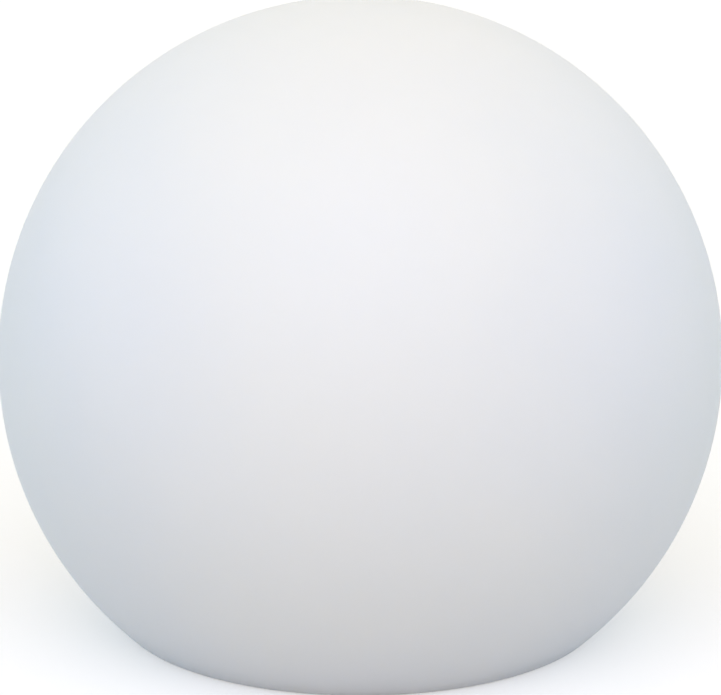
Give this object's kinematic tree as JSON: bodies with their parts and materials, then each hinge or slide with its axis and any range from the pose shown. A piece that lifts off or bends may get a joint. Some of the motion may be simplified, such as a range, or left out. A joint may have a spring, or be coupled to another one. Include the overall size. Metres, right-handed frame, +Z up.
{
  "type": "solar floating light",
  "caption": "Milky globe garden light that floats on water or stands on its flat base, with a sealed solar light module locked into its neck from underneath.",
  "frame": {"origin": "centre of the flat standing ring, on the plane that the light stands on", "axes": "+Z up along the globe's axis of revolution; -Y faces the viewer of the picture; +X to the right"},
  "size_m": [0.2999, 0.2998, 0.2627],
  "materials": {
    "milky_polyethylene": "satin, rotomoulded, translucent",
    "white_abs": "satin, injection moulded",
    "grey_abs": "satin, injection moulded",
    "graphite_nylon": "matte, fine spark-eroded texture",
    "black_polypropylene": "satin, injection moulded",
    "silicone_rubber": "matte, moulded",
    "button_silicone": "matte, moulded",
    "stainless_steel": "satin",
    "zinc_plated_steel": "satin, zinc plated",
    "nickel_plated_steel": "bright, nickel plated",
    "cell_sleeve": "gloss printed-free shrink sleeve over a steel can",
    "green_solder_mask": "gloss, solder mask over glass-fibre board",
    "white_solder_mask": "gloss, white solder mask",
    "chip_epoxy": "matte, moulded epoxy",
    "ferrite": "matte, sintered",
    "capacitor_sleeve": "gloss shrink sleeve over an aluminium can",
    "socket_nylon": "satin, injection moulded",
    "led_phosphor": "gloss silicone over phosphor",
    "white_polycarbonate": "gloss, injection moulded",
    "clear_polycarbonate": "gloss, clear, injection moulded",
    "silicon_cell": "gloss, textured silicon",
    "backing_laminate": "gloss laminate",
    "tinned_copper": "bright, tinned",
    "clear_epoxy": "gloss, cast clear",
    "pvc_insulation": "satin, extruded"
  },
  "bodies": {
    "globe": {"globe_shell": "milky_polyethylene", "collar_gasket": "silicone_rubber", "neck_collar": "white_abs", "collar_screws": "stainless_steel"},
    "light_module": {"module_cup": "grey_abs", "deck_plate": "grey_abs", "light_ring": "grey_abs", "barrel_o_rings": "silicone_rubber", "base_cover": "grey_abs", "cover_gasket": "silicone_rubber", "cover_screws": "stainless_steel", "ballast_ring": "zinc_plated_steel", "battery_holder": "black_polypropylene", "battery_cell_1": "cell_sleeve", "battery_cell_2": "cell_sleeve", "battery_cell_3": "cell_sleeve", "cell_springs": "nickel_plated_steel", "cell_contacts": "nickel_plated_steel", "holder_screws": "zinc_plated_steel", "switch_board": "green_solder_mask", "switch_body": "chip_epoxy", "switch_screws": "zinc_plated_steel", "control_board": "green_solder_mask", "board_screws": "zinc_plated_steel", "charge_chip": "chip_epoxy", "control_chip": "chip_epoxy", "charge_inductor": "ferrite", "capacitors": "capacitor_sleeve", "lead_sockets": "socket_nylon", "led_board": "white_solder_mask", "led_packages": "led_phosphor", "reflector_ring": "white_polycarbonate", "led_board_screws": "zinc_plated_steel", "panel_backing": "backing_laminate", "solar_cells": "silicon_cell", "cell_ribbons": "tinned_copper", "panel_window": "clear_epoxy", "lens_gasket": "silicone_rubber", "lens_dome": "clear_polycarbonate", "lens_retainer": "grey_abs", "retainer_screws": "stainless_steel", "battery_leads": "pvc_insulation", "switch_leads": "pvc_insulation", "led_leads": "pvc_insulation", "panel_leads": "pvc_insulation"},
    "lock_ring": {"lock_ring": "graphite_nylon"},
    "power_button": {"button_cap": "button_silicone", "button_o_ring": "silicone_rubber", "switch_plunger": "socket_nylon"},
    "mooring_bail": {"mooring_bail": "stainless_steel"}
  },
  "joints": [
    {"name": "module_pull", "type": "slide", "parent": "globe", "child": "light_module", "axis": [0, 0, -1], "range_m": [0, 0.08]},
    {"name": "lock_ring_turn", "type": "hinge", "parent": "light_module", "child": "lock_ring", "pos_m": [0, 0, 0.008], "axis": [0, 0, 1], "range_deg": [0, 40]},
    {"name": "power_button_press", "type": "slide", "parent": "light_module", "child": "power_button", "axis": [0, 0, 1], "range_m": [0, 0.001], "stiffness_N_per_m": 1500, "springref_m": -0.0005},
    {"name": "mooring_bail_swing", "type": "hinge", "parent": "light_module", "child": "mooring_bail", "pos_m": [0, 0, 0.0062], "axis": [1, 0, 0], "range_deg": [0, 180]}
  ]
}
